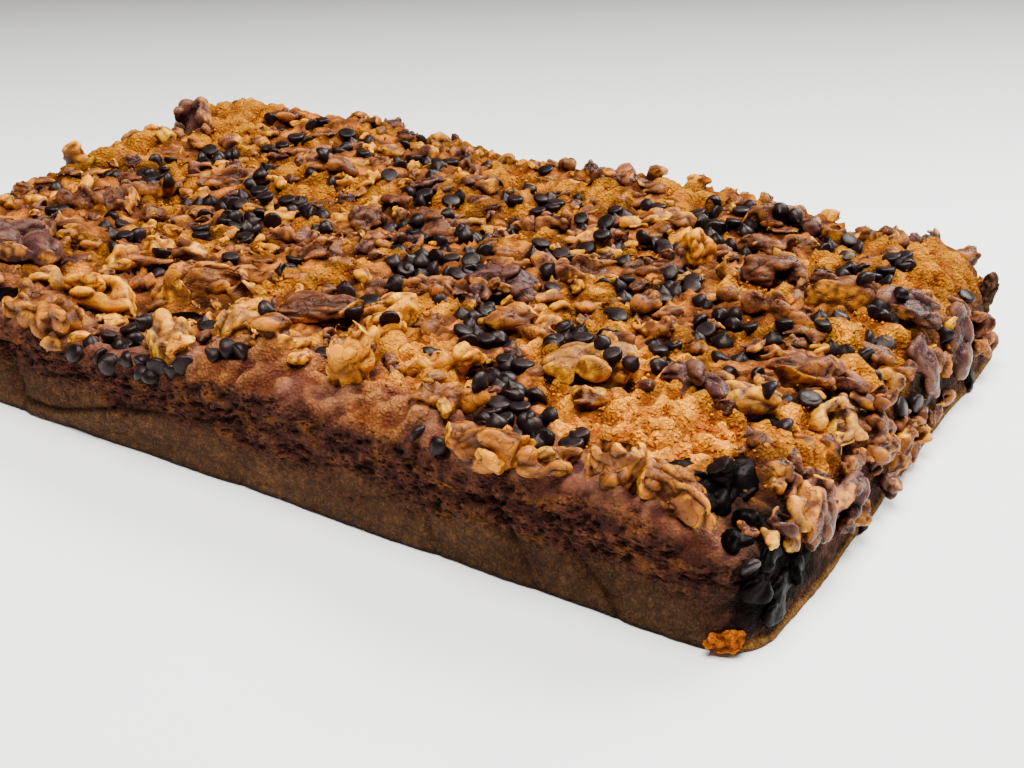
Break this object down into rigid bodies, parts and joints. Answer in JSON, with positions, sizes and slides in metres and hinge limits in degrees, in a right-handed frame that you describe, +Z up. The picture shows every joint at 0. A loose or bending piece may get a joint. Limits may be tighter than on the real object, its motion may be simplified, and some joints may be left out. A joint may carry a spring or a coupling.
{
  "type": "walnut and chocolate chip tray cake",
  "caption": "Uncut one-layer rectangular tray-baked sponge cake with an uneven golden top full of walnut pieces and dark chocolate chips, resting on its flat base.",
  "frame": {"origin": "middle of the flat base, at table height", "axes": "+X along the long side, towards the rounded end that the picture shows; +Y across, away from the long side that the picture shows; +Z up"},
  "size_m": [0.4041, 0.244, 0.0623],
  "materials": {
    "baked_sponge": "matt, crumbly baked crust with dark brown sides",
    "walnut_kernel": "satin, ridged, amber to purple-brown",
    "dark_chocolate": "smooth dark chocolate with a soft gloss"
  },
  "bodies": {
    "root": {"cake": "baked_sponge", "walnut_01": "walnut_kernel", "walnut_02": "walnut_kernel", "walnut_03": "walnut_kernel", "walnut_04": "walnut_kernel", "walnut_05": "walnut_kernel", "walnut_06": "walnut_kernel", "walnut_07": "walnut_kernel", "walnut_08": "walnut_kernel", "walnut_09": "walnut_kernel", "walnut_10": "walnut_kernel", "walnut_11": "walnut_kernel", "walnut_12": "walnut_kernel", "walnut_13": "walnut_kernel", "walnut_14": "walnut_kernel", "walnut_15": "walnut_kernel", "walnut_16": "walnut_kernel", "walnut_17": "walnut_kernel", "walnut_18": "walnut_kernel", "walnut_19": "walnut_kernel", "walnut_20": "walnut_kernel", "walnut_21": "walnut_kernel", "walnut_22": "walnut_kernel", "walnut_23": "walnut_kernel", "walnut_24": "walnut_kernel", "walnut_25": "walnut_kernel", "walnut_26": "walnut_kernel", "walnut_27": "walnut_kernel", "walnut_28": "walnut_kernel", "walnut_29": "walnut_kernel", "walnut_30": "walnut_kernel", "walnut_31": "walnut_kernel", "walnut_32": "walnut_kernel", "walnut_33": "walnut_kernel", "walnut_34": "walnut_kernel", "walnut_35": "walnut_kernel", "walnut_36": "walnut_kernel", "walnut_37": "walnut_kernel", "walnut_38": "walnut_kernel", "walnut_39": "walnut_kernel", "walnut_40": "walnut_kernel", "walnut_41": "walnut_kernel", "walnut_42": "walnut_kernel", "walnut_43": "walnut_kernel", "walnut_44": "walnut_kernel", "walnut_45": "walnut_kernel", "walnut_46": "walnut_kernel", "walnut_47": "walnut_kernel", "walnut_48": "walnut_kernel", "walnut_49": "dark_chocolate", "walnut_50": "walnut_kernel", "walnut_51": "walnut_kernel", "walnut_52": "walnut_kernel", "walnut_53": "walnut_kernel", "walnut_54": "walnut_kernel", "walnut_55": "walnut_kernel", "walnut_56": "walnut_kernel"}
  },
  "joints": []
}
